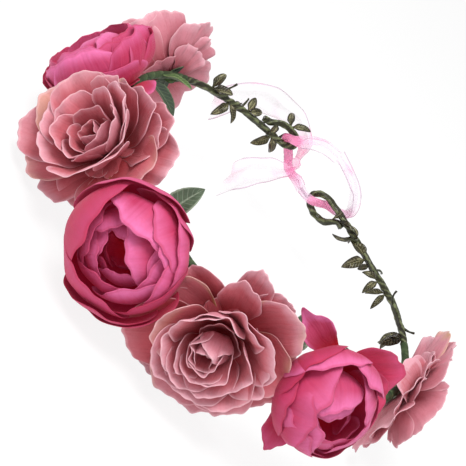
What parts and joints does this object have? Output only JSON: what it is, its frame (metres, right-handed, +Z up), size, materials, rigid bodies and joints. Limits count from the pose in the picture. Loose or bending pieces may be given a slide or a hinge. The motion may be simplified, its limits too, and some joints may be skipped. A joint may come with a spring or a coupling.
{
  "type": "flower crown",
  "caption": "Flower crown on a bendable wire ring: silk peonies and ranunculus round the front, leafy vine arms with eyelets at the back tied with a sheer ribbon.",
  "frame": {"origin": "centre of the wire ring, in the plane of the ring, where the middle of the wearer's head comes", "axes": "+Z up out of the top of the crown, -Y out of the front middle of the crown, +X to the side on the right when the crown is seen from its front"},
  "size_m": [0.2385, 0.2177, 0.0692],
  "materials": {
    "wire_steel": "annealed florist's wire",
    "floral_tape": "waxed crepe tape, dark green, matt",
    "vine_wrap": "twisted paper and plastic wrap, dark olive, satin",
    "vine_leaf": "moulded leaf, dark brown green, satin",
    "leaf_bright": "starched cloth leaf, bright green, matt",
    "leaf_grey": "starched cloth leaf, grey green, matt",
    "leaf_dark": "starched cloth leaf, dark green, matt",
    "stem_wrap": "tape-wrapped stem, green, matt",
    "dusty_pink_cloth": "silk cloth petals, dusty pink with paler edges, soft matt",
    "hot_pink_cloth": "silk cloth petals, hot pink with crimson shadows, soft sheen",
    "organza_ribbon": "sheer organza, pale pink"
  },
  "bodies": {
    "front_band": {"cloth_leaf_1": "leaf_bright", "cloth_leaf_2": "leaf_dark", "cloth_leaf_3": "leaf_grey", "cloth_leaf_4": "leaf_dark", "cloth_leaf_5": "leaf_grey", "cloth_leaf_6": "leaf_dark", "cloth_leaf_7": "leaf_bright", "front_band_wrap": "floral_tape", "front_core_wire": "wire_steel", "peony_front_heart": "dusty_pink_cloth", "peony_front_inner_petals": "dusty_pink_cloth", "peony_front_outer_petals": "dusty_pink_cloth", "peony_front_stem": "stem_wrap", "peony_left_front_heart": "dusty_pink_cloth", "peony_left_front_inner_petals": "dusty_pink_cloth", "peony_left_front_outer_petals": "dusty_pink_cloth", "peony_left_front_stem": "stem_wrap", "peony_left_rear_heart": "dusty_pink_cloth", "peony_left_rear_inner_petals": "dusty_pink_cloth", "peony_left_rear_outer_petals": "dusty_pink_cloth", "peony_left_rear_stem": "stem_wrap", "peony_right_rear_heart": "dusty_pink_cloth", "peony_right_rear_inner_petals": "dusty_pink_cloth", "peony_right_rear_outer_petals": "dusty_pink_cloth", "peony_right_rear_stem": "stem_wrap", "ranunculus_front_left_heart": "hot_pink_cloth", "ranunculus_front_left_inner_petals": "hot_pink_cloth", "ranunculus_front_left_outer_petals": "hot_pink_cloth", "ranunculus_front_left_stem": "stem_wrap", "ranunculus_front_right_heart": "hot_pink_cloth", "ranunculus_front_right_inner_petals": "hot_pink_cloth", "ranunculus_front_right_outer_petals": "hot_pink_cloth", "ranunculus_front_right_stem": "stem_wrap", "ranunculus_left_heart": "hot_pink_cloth", "ranunculus_left_inner_petals": "hot_pink_cloth", "ranunculus_left_outer_petals": "hot_pink_cloth", "ranunculus_left_stem": "stem_wrap"},
    "left_arm": {"left_arm_core_wire": "wire_steel", "left_arm_leaf_pair_1": "vine_leaf", "left_arm_leaf_pair_2": "vine_leaf", "left_arm_leaf_pair_3": "vine_leaf", "left_arm_leaf_pair_4": "vine_leaf", "left_arm_leaf_pair_5": "vine_leaf", "left_arm_vine": "vine_wrap", "ribbon_knot": "organza_ribbon", "ribbon_loop_left": "organza_ribbon", "ribbon_inner_tail": "organza_ribbon", "ribbon_outer_tail": "organza_ribbon"},
    "right_arm": {"right_arm_core_wire": "wire_steel", "right_arm_leaf_pair_1": "vine_leaf", "right_arm_leaf_pair_2": "vine_leaf", "right_arm_leaf_pair_3": "vine_leaf", "right_arm_leaf_pair_4": "vine_leaf", "right_arm_leaf_pair_5": "vine_leaf", "right_arm_vine": "vine_wrap", "ribbon_loop_right": "organza_ribbon"}
  },
  "joints": [
    {"name": "left_arm_flex", "type": "hinge", "parent": "front_band", "child": "left_arm", "pos_m": [-0.0822, 0.0366, 0], "axis": [0, 0, 1], "range_deg": [-4, 12], "stiffness_Nm_per_rad": 0.08, "deforming": ["ribbon_loop_left"]},
    {"name": "right_arm_flex", "type": "hinge", "parent": "front_band", "child": "right_arm", "pos_m": [0.0822, 0.0366, 0], "axis": [0, 0, -1], "range_deg": [-4, 12], "stiffness_Nm_per_rad": 0.08, "deforming": ["ribbon_loop_right"]}
  ]
}
